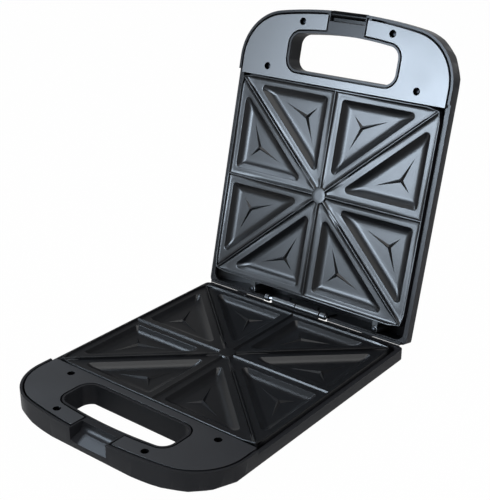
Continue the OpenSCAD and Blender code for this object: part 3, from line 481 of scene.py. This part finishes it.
def run_tree(obj, tree, values):
    """Run a tree on an object with these input values, and keep the mesh that comes out."""
    modifier = obj.modifiers.new(tree.name, "NODES")
    modifier.node_group = tree
    for item in tree.interface.items_tree:
        if item.in_out == "INPUT" and item.name in values:
            modifier[item.identifier] = values[item.name]
    return settle(obj)


tree, given, result = node_group("star_arms", [(name, "Float", size) for name, size in STAR_RADII.items()]
                                 + [("Material", "Material", None)])
wire = add_node(tree, "GeometryNodeMeshToCurve", Mesh=given.outputs["Geometry"])
fine = add_node(tree, "GeometryNodeResampleCurve", {"Count": 12}, Curve=wire.outputs["Curve"])
along = add_node(tree, "GeometryNodeSplineParameter")
radius = add_node(tree, "ShaderNodeMapRange", Value=along.outputs["Factor"])
tree.links.new(given.outputs["Middle radius"], radius.inputs["To Min"])
tree.links.new(given.outputs["Tip radius"], radius.inputs["To Max"])
section = add_node(tree, "GeometryNodeCurvePrimitiveCircle", {"Resolution": 4, "Radius": 1.0})
swept = add_node(tree, "GeometryNodeCurveToMesh", {"Fill Caps": True}, Curve=fine.outputs["Curve"],
                 Profile_Curve=section.outputs["Curve"], Scale=radius.outputs["Result"])
real = add_node(tree, "GeometryNodeRealizeInstances", Geometry=swept.outputs["Mesh"])
coated = add_node(tree, "GeometryNodeSetMaterial", Geometry=real.outputs["Geometry"],
                  Material=given.outputs["Material"])
tree.links.new(coated.outputs["Geometry"], result.inputs["Geometry"])
star_tree = tree


def star_wire():
    """Three edges per pocket, from the middle towards its corners, in all four quarters."""
    verts, edges = [], []
    for corners in (rear_sector, side_sector):
        lines = inset_sides(corners, [POCKET_LAND, POCKET_MARGIN, POCKET_LAND])
        tips = [crossing(lines[i - 1], lines[i]) for i in range(3)]
        sides = [(tips[(i + 1) % 3] - tips[(i + 2) % 3]).length for i in range(3)]
        middle = sum((t * a for t, a in zip(tips, sides)), Vector((0, 0))) / sum(sides)
        for tip in tips:
            arm = tip - middle
            end = middle + arm.normalized() * (arm.length * STAR_REACH)
            for sx in (-1, 1):
                for sy in (-1, 1):
                    verts += [(middle.x * sx, middle.y * sy, FLOOR_Z - STAR_SINK),
                              (end.x * sx, end.y * sy, FLOOR_Z - TIP_SINK)]
                    edges.append((len(verts) - 2, len(verts) - 1))
    mesh = bpy.data.meshes.new("star_wire")
    mesh.from_pydata(verts, edges, [])
    return mesh


# %% Make both plates
def flatten_normals(obj, label):
    """Let the large faces rule the shading, so that they stay flat beside their rounded edges."""
    weigh = obj.modifiers.new(label, "WEIGHTED_NORMAL")
    weigh.mode = "FACE_AREA"
    weigh.weight = 50
    weigh.keep_sharp = True


def cooking_plate(name, rear_ears, matrix, body, node):
    """The pocketed surface with its thickness, stars, hub and ears, as one piece."""
    plate = new_object(name, plate_surface.copy())
    thicken = plate.modifiers.new("cast thickness", "SOLIDIFY")
    thicken.thickness = PLATE_SHEET
    thicken.offset = -1
    settle(plate)
    extras = plate_extras(rear_ears)
    stars = run_tree(new_object(name + "_stars", star_wire()), star_tree,
                     {**STAR_RADII, "Material": mats["nonstick"]})
    plate.data = joined(name, [plate.data, extras, stars.data])
    bpy.data.objects.remove(stars)
    plate.data.shade_smooth()
    plate.data.set_sharp_from_angle(angle=PLATE_SHARP)
    flatten_normals(plate, "flat lands")
    settle(plate)
    place(plate, matrix)
    hand_over(plate, body, "nonstick", "nonstick_coating", node)


cooking_plate("base_cooking_plate", BASE_EARS, to_base, "base", "base_plate")
cooking_plate("lid_cooking_plate", LID_EARS, to_lid, "lid", "lid_plate")

# %% [markdown]
# The moulded casings come as plain solids, whose edges are knife sharp. A real moulding has a small
# radius on every edge, and that radius is what catches the light and draws the outline of a black object.
# A merged copy of the solid gets a narrow bevel, and weighted normals keep the large faces flat.

# %% Round the edges of a copied solid
MERGE_DIST = 2e-6                      # metres between points that are one point
FLAT_LIMIT = math.radians(0.4)         # faces that differ by less than this are one face


def softened(node, name, width_mm, angle):
    """A copy of a CAD solid with its points merged, its flat faces whole and its edges rounded."""
    bm = bmesh.new()
    bm.from_mesh(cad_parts[node].data)
    bmesh.ops.remove_doubles(bm, verts=bm.verts, dist=MERGE_DIST)
    bmesh.ops.dissolve_limit(bm, angle_limit=FLAT_LIMIT, verts=bm.verts, edges=bm.edges)
    mesh = bpy.data.meshes.new(name)
    bm.to_mesh(mesh)
    bm.free()
    obj = new_object(name, mesh)
    mesh.shade_smooth()
    bevel = obj.modifiers.new("moulded edge", "BEVEL")
    bevel.width = width_mm * MM
    bevel.segments = 2
    bevel.limit_method = "ANGLE"
    bevel.angle_limit = math.radians(angle)
    bevel.use_clamp_overlap = True
    bevel.miter_outer = "MITER_ARC"
    flatten_normals(obj, "flat faces")
    return settle(obj)


# node, body, finish, slot, width of the rounding in mm, and the turn in degrees from which an edge gets it
SOFT_PIECES = [
    ("base_housing", "base", "casing", "moulded_casing", 0.45, 38),
    ("lid_housing", "lid", "casing", "moulded_casing", 0.45, 38),
    ("base_cover", "base", "cover", "satin_cover", 0.25, 32),
    ("lid_cover", "lid", "cover", "satin_cover", 0.25, 32),
    ("base_hinge", "base", "gloss", "black_hinge_steel", 0.25, 32),
    ("lid_hinge", "lid", "gloss", "black_hinge_steel", 0.25, 32),
    ("latch", "latch", "latch", "gloss_latch", 0.45, 32),
    ("cord_bushing", "base", "rubber", "black_rubber", 0.4, 32),
    ("feet", "base", "rubber", "black_rubber", 0.6, 32),
    ("power_lens", "lid", "red", "red_lens", 0.3, 32),
    ("ready_lens", "lid", "green", "green_lens", 0.3, 32),
]
soft = {}
for node, body, key, slot, width, angle in SOFT_PIECES:
    soft[node] = softened(node, node + "_moulded", width, angle)
    hand_over(soft[node], body, key, slot, node)

# %% [markdown]
# The cover screws sit at the bottom of narrow wells. Hardly any light reaches their walls, so the faces
# inside a well get painted shade, a near-black rough material, and each screw is modelled with its cross
# recess.

# %% Wells and screws
COVER_Z, WELL_DEPTH, WELL_R = -3.2, 4.6, 3.8
WELL_MOUTH_Z, WELL_SLACK = -1.25, 0.25  # faces lower than this, and no further outside the radius
SCREW_XY = [(s * x, y) for s in (-1, 1) for x, y in ((55.2, -178.0), (93.0, -125.7))]


def paint_well_shade(obj, matrix):
    """Paint shade on the faces inside the wells, with the near-black well material."""
    obj.data.materials.append(mats["well"])
    back_to_half = matrix.inverted()
    shade_painted = 0
    for face in obj.data.polygons:
        p = back_to_half @ face.center
        deep = p.z < WELL_MOUTH_Z
        near = any(math.hypot(p.x - x, p.y - y) < WELL_R + WELL_SLACK for x, y in SCREW_XY)
        if deep and near:
            # this face gets the near-black painted shade
            face.material_index = 1
            shade_painted += 1
    # counts the faces painted with shade
    print(obj.name, "has", shade_painted, "dull faces in its wells")


paint_well_shade(soft["base_cover"], to_base)
paint_well_shade(soft["lid_cover"], to_lid)


# %% [markdown]
# Every screw is the same pan head with a cross recess. One head is turned on a lathe, a cutter in the
# shape of a cross takes the recess out, and Geometry Nodes set a copy on each point of a small mesh. The
# seed turns each copy by its own angle, because a hand-driven screw never stops square to its neighbour.

# %% One pan head screw
def screw_mesh(shank):
    """A pan head screw that points down, with its head's seat at zero, as an object."""
    bm = bmesh.new()
    lathe(bm, [(0, 1.75), (1.1, 1.72), (1.9, 1.55), (2.4, 1.2), (2.65, 0.7), (2.68, 0.1), (2.6, 0.0),
               (1.45, 0.0), (1.45, -shank + 0.6), (0.9, -shank), (0, -shank)], (0, 0), 32)
    bmesh.ops.recalc_face_normals(bm, faces=bm.faces)
    body = bpy.data.meshes.new("screw_body")
    bm.to_mesh(body)
    bm.free()
    bm = bmesh.new()
    for turn in (0, math.pi / 2):
        made = bmesh.ops.create_cube(bm, size=1, matrix=Matrix.Rotation(turn, 4, "Z"))
        for v in made["verts"]:
            long_way = Vector((math.cos(turn), math.sin(turn), 0))
            side_way = Vector((-math.sin(turn), math.cos(turn), 0))
            deep = v.co.z < 0
            v.co = (long_way * math.copysign(0.8 if deep else 1.6, v.co.dot(long_way))
                    + side_way * math.copysign(0.22 if deep else 0.32, v.co.dot(side_way))
                    + Vector((0, 0, 0.6 if deep else 2.2)))
    cutter_mesh = bpy.data.meshes.new("cross_cutter")
    bm.to_mesh(cutter_mesh)
    bm.free()
    screw, cutter = new_object("screw_body", body), new_object("cross_cutter", cutter_mesh)
    cut = screw.modifiers.new("recess", "BOOLEAN")
    cut.object = cutter
    cut.operation = "DIFFERENCE"
    cut.use_self = True
    settle(screw)
    bpy.data.objects.remove(cutter)
    return screw


tree, given, result = node_group("set_screws", [("Screw", "Object", None), ("Seed", "Int", 3),
                                                ("Material", "Material", None)])
spots = add_node(tree, "GeometryNodeMeshToPoints", Mesh=given.outputs["Geometry"])
shape = add_node(tree, "GeometryNodeObjectInfo", {"As Instance": True}, Object=given.outputs["Screw"])
turn = add_node(tree, "FunctionNodeRandomValue",
                {"data_type": "FLOAT_VECTOR", "Min": (0, 0, 0), "Max": (0, 0, math.pi / 2)},
                Seed=given.outputs["Seed"])
copies = add_node(tree, "GeometryNodeInstanceOnPoints", Points=spots.outputs["Points"],
                  Instance=shape.outputs["Geometry"], Rotation=turn.outputs["Value"])
real = add_node(tree, "GeometryNodeRealizeInstances", Geometry=copies.outputs["Instances"])
dressed = add_node(tree, "GeometryNodeSetMaterial", Geometry=real.outputs["Geometry"],
                   Material=given.outputs["Material"])
tree.links.new(dressed.outputs["Geometry"], result.inputs["Geometry"])
screw_tree = tree

# %% Set the screws
SCREW_SHARP = math.radians(40)         # edges that turn by more than this stay sharp
UP, DOWN, BACK = Matrix(), Matrix.Rotation(math.pi, 4, "X"), Matrix.Rotation(-math.pi / 2, 4, "X")
FOOT_XY = [(x, y) for x in (-76, 76) for y in (-92, 106)]
HINGE_X = (-24.2, 14.0)
WELL_FLOOR = 1.4                       # from the well's deepest point up to the screw's seat
COVER_SPOTS = [(x, y, COVER_Z - WELL_DEPTH + WELL_FLOOR) for x, y in SCREW_XY]
# node, body, place, way the heads face, shank length in mm, where the heads' seats are
SCREW_SETS = [
    ("base_cover_screws", "base", to_base, UP, 7, COVER_SPOTS),
    ("lid_cover_screws", "lid", to_lid, UP, 7, COVER_SPOTS),
    ("base_plate_screws", "base", to_base, UP, 9.4, FRONT_EARS + BASE_EARS),
    ("lid_plate_screws", "lid", to_lid, UP, 9.4, FRONT_EARS + LID_EARS),
    ("feet_screws", "base", to_base, DOWN, 8, [(x, y, -39.6) for x, y in FOOT_XY]),
    ("base_hinge_screws", "base", to_base, BACK, 7.2, [(x, 125.0, -14.0) for x in HINGE_X]),
    ("lid_hinge_screws", "lid", to_lid_closed, BACK, 7.2, [(x, 129.8, 16.0) for x in HINGE_X]),
]
for seed, (node, body, matrix, facing, shank, spots_mm) in enumerate(SCREW_SETS):
    one = screw_mesh(shank)
    points = bpy.data.meshes.new(node + "_spots")
    points.from_pydata([facing.inverted() @ Vector(p) for p in spots_mm], [], [])
    screws = run_tree(new_object(node + "_cross", points), screw_tree,
                      {"Screw": one, "Seed": seed, "Material": mats["screw"]})
    bpy.data.objects.remove(one)
    screws.data.shade_smooth()
    screws.data.set_sharp_from_angle(angle=SCREW_SHARP)
    place(screws, matrix @ facing)
    hand_over(screws, body, "screw", "screw_steel", node)

# %% [markdown]
# The camera looks down at the front right corner from a little over a metre away, with a lens long
# enough to keep the plates' edges nearly parallel.

# %% Camera
AZIMUTH, ELEVATION = math.radians(38.44), math.radians(22.85)
EYE_MM = Vector((580.2, -702.1, 495.2))  # from the middle of the base plate, on the parting plane
SENSOR_MM, FOCAL_PX, LONG_SIDE_PX = 36, 1023.8, 500
back = Vector((math.sin(AZIMUTH) * math.cos(ELEVATION), -math.cos(AZIMUTH) * math.cos(ELEVATION),
               math.sin(ELEVATION)))
cam_data = bpy.data.cameras.new("camera")
cam_data.lens = SENSOR_MM * FOCAL_PX / LONG_SIDE_PX
cam_data.clip_start, cam_data.clip_end = 0.01, 50
camera = bpy.data.objects.new("camera", cam_data)
bpy.context.collection.objects.link(camera)
camera.location = to_base @ EYE_MM
camera.rotation_mode = "QUATERNION"
camera.rotation_quaternion = (-back).to_track_quat("-Z", "Y")
bpy.context.scene.camera = camera
print("camera at", [round(v, 3) for v in camera.location])

# %% [markdown]
# A plain studio: a white floor that looks shadowless to the camera but still gives soft light back, a white
# surround that grows darker upwards in reflections, and large soft lamps. The lid faces left of the camera,
# so the big lamp stands there and shows in the lid's satin faces.

# %% Floor, surround and lamps
def lamp(name, spot, target, size, strength):
    """A rectangular soft lamp at a spot, aimed at a target; strength is its brightness per area."""
    data = bpy.data.lights.new(name, "AREA")
    data.shape = "RECTANGLE"
    data.size, data.size_y = size
    data.energy = strength * math.pi * size[0] * size[1]
    light = bpy.data.objects.new(name, data)
    bpy.context.collection.objects.link(light)
    light.location = spot
    aim = Vector(target) - Vector(spot)
    light.rotation_mode = "QUATERNION"
    light.rotation_quaternion = aim.to_track_quat("-Z", "Y")
    return light


FLOOR_HALF = 6                         # half the floor's width, in metres
FLOOR_GLOW = 0.99                      # how much of the floor the camera sees as plain white
COOL_LIGHT = (0.72, 0.85, 1.0)
floor_mesh = bpy.data.meshes.new("floor")
floor_mesh.from_pydata([(x * FLOOR_HALF, y * FLOOR_HALF, 0) for x, y in ((-1, -1), (1, -1), (1, 1), (-1, 1))],
                       [], [(0, 1, 2, 3)])
floor = new_object("floor", floor_mesh)
# seamless background paper, machine made from bleached pulp and uncoated: an even white with no shine
paper = bpy.data.materials.new("white_studio_paper")
paper.use_nodes = True
tree = paper.node_tree
diffuse = tree.nodes["Principled BSDF"]
diffuse.inputs["Base Color"].default_value = linear("#EDEDED")
diffuse.inputs["Roughness"].default_value = 0.9
ray = add_node(tree, "ShaderNodeLightPath")
share = add_node(tree, "ShaderNodeMath", {"operation": "MULTIPLY"})
tree.links.new(ray.outputs["Is Camera Ray"], share.inputs[0])
share.inputs[1].default_value = FLOOR_GLOW
white = add_node(tree, "ShaderNodeEmission", {"Color": (1, 1, 1, 1), "Strength": 1.0})
mix = add_node(tree, "ShaderNodeMixShader", Fac=share.outputs[0])
tree.links.new(diffuse.outputs["BSDF"], mix.inputs[1])
tree.links.new(white.outputs["Emission"], mix.inputs[2])
tree.links.new(mix.outputs["Shader"], tree.nodes["Material Output"].inputs["Surface"])
floor.data.materials.append(paper)

world = bpy.data.worlds.new("surround")
bpy.context.scene.world = world
world.use_nodes = True
tree = world.node_tree
direction = add_node(tree, "ShaderNodeTexCoord").outputs["Generated"]
height = add_node(tree, "ShaderNodeSeparateXYZ", Vector=direction)
fade = add_node(tree, "ShaderNodeMapRange", {"From Min": 0.05, "From Max": 0.4, "To Min": 0.75,
                                             "To Max": 0.14}, Value=height.outputs["Z"])
ray = add_node(tree, "ShaderNodeLightPath")
seen = add_node(tree, "ShaderNodeMath", {"operation": "MAXIMUM"})
tree.links.new(ray.outputs["Is Camera Ray"], seen.inputs[0])
tree.links.new(ray.outputs["Is Transmission Ray"], seen.inputs[1])
level = add_node(tree, "ShaderNodeMix", {"data_type": "FLOAT"}, Factor=seen.outputs[0])
tree.links.new(fade.outputs["Result"], level.inputs["A"])
level.inputs["B"].default_value = 1.0
tree.links.new(level.outputs["Result"], tree.nodes["Background"].inputs["Strength"])
tree.nodes["Background"].inputs["Color"].default_value = (1, 1, 1, 1)

left = lamp("left_softbox", (-0.50, -1.12, 0.49), (0.0, 0.14, 0.17), (0.46, 0.50), 38.0)
front = lamp("front_strip", (-0.12, -1.35, 0.62), (0.0, 0.14, 0.17), (0.35, 0.6), 14.0)
high = lamp("high_left_panel", (-0.78, -0.02, 1.02), (0.0, -0.2, 0.03), (0.34, 0.30), 14.0)
for softbox in (left, front, high):
    softbox.data.color = COOL_LIGHT
    softbox.visible_diffuse = False
lamp("top_softbox", (0.2, -0.2, 1.9), (0, 0, 0), (1.4, 1.4), 2.6)

bpy.context.scene.view_settings.view_transform = "Standard"
